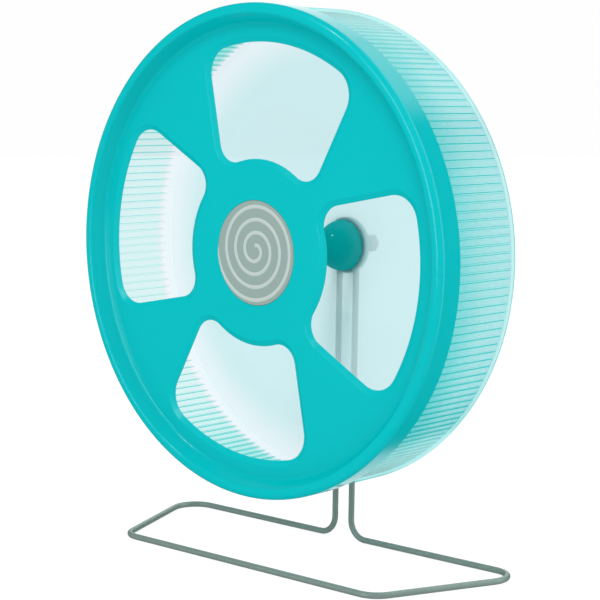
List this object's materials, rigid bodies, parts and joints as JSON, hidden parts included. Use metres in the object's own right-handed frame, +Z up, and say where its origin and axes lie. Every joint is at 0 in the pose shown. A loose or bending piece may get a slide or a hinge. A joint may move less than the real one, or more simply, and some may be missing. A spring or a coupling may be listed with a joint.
{
  "type": "rodent exercise wheel",
  "caption": "Turquoise-fronted running wheel with a translucent ribbed drum, turning on ball bearings on a bent wire floor stand.",
  "frame": {"origin": "on the floor, under the middle of the whole object's box", "axes": "+Z up, the axle along Y, the open windowed face looks along -Y, +X to the right seen from the front"},
  "size_m": [0.28, 0.1186, 0.3193],
  "materials": {
    "turquoise_plastic": "smooth moulded, soft gloss",
    "mint_translucent": "translucent moulded, soft gloss",
    "dark_teal_plastic": "glossy moulded",
    "teal_plastic": "smooth moulded",
    "badge_grey": "satin, with a paler raised line",
    "wire_steel": "drawn wire, dull dark grey",
    "bright_steel": "bright turned steel",
    "bearing_steel": "ground and polished",
    "cage_brass": "turned brass"
  },
  "bodies": {
    "stand": {"wire_stand": "wire_steel", "bridge_plate": "wire_steel", "axle_holder": "teal_plastic", "axle": "bright_steel", "retaining_ring": "bright_steel", "front_inner_race": "bearing_steel", "rear_inner_race": "bearing_steel", "inner_race_spacer": "bearing_steel", "rear_bush": "cage_brass", "nut_washer": "bright_steel", "end_nut": "bright_steel"},
    "wheel": {"front_panel": "turquoise_plastic", "centre_badge": "badge_grey", "drum": "mint_translucent", "bearing_housing": "dark_teal_plastic", "housing_screws": "bright_steel", "front_outer_race": "bearing_steel", "rear_outer_race": "bearing_steel", "outer_race_spacer": "bearing_steel", "bearing_shields": "bearing_steel"},
    "front_cage": {"front_ball_cage": "cage_brass", "front_balls": "bearing_steel"},
    "rear_cage": {"rear_ball_cage": "cage_brass", "rear_balls": "bearing_steel"}
  },
  "joints": [
    {"name": "wheel_spin", "type": "hinge", "parent": "stand", "child": "wheel", "pos_m": [0, 0.02957, 0.1793], "axis": [0, 1, 0], "continuous": true},
    {"name": "front_cage_spin", "type": "hinge", "parent": "stand", "child": "front_cage", "pos_m": [0, 0.02107, 0.1793], "axis": [0, 1, 0], "continuous": true},
    {"name": "rear_cage_spin", "type": "hinge", "parent": "stand", "child": "rear_cage", "pos_m": [0, 0.02707, 0.1793], "axis": [0, 1, 0], "continuous": true}
  ],
  "couplings": [
    {"joint": "front_cage_spin", "follows": "wheel_spin", "ratio": 0.61333},
    {"joint": "rear_cage_spin", "follows": "wheel_spin", "ratio": 0.61333}
  ]
}
